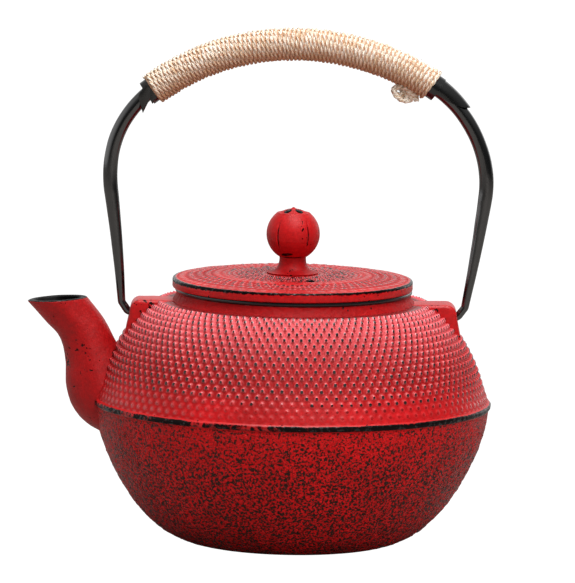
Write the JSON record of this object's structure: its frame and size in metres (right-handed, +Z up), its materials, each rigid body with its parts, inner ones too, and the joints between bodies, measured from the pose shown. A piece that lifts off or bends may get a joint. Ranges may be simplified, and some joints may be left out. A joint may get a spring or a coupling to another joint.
{
  "type": "teapot",
  "caption": "Round hobnail cast iron teapot with a spout, lift-off lid with openwork knob, swinging bail with a twine-bound grip, and a steel strainer basket.",
  "frame": {"origin": "centre of the flat base, on the surface the pot stands on", "axes": "+Z up; the spout points to -X; the bail swings about an axis along X; the front is -Y"},
  "size_m": [0.2002, 0.1716, 0.2231],
  "materials": {
    "red_iron": "red enamel, rubbed to black on the raised work",
    "black_steel": "gloss black",
    "twine": "natural two-ply twine",
    "stainless": "satin"
  },
  "bodies": {
    "pot": {"pot_body": "red_iron", "spout": "red_iron"},
    "handle": {"bail": "black_steel", "grip_sleeve": "black_steel", "grip_binding": "twine", "binding_loop": "twine"},
    "cover": {"lid": "red_iron", "knob": "red_iron", "knob_washer": "stainless", "knob_screw": "stainless"},
    "strainer": {"infuser_rim": "stainless", "infuser_wall": "stainless", "infuser_base": "stainless"}
  },
  "joints": [
    {"name": "bail_swing", "type": "hinge", "parent": "pot", "child": "handle", "pos_m": [0, 0, 0.099], "axis": [1, 0, 0], "range_deg": [-122, 122]},
    {"name": "lid_lift", "type": "slide", "parent": "pot", "child": "cover", "axis": [0, 0, 1], "range_m": [0, 0.06]},
    {"name": "infuser_lift", "type": "slide", "parent": "pot", "child": "strainer", "axis": [0, 0, 1], "range_m": [0, 0.054]}
  ],
  "couplings": [
    {"joint": "infuser_lift", "follows": "lid_lift", "ratio": 0.9}
  ]
}
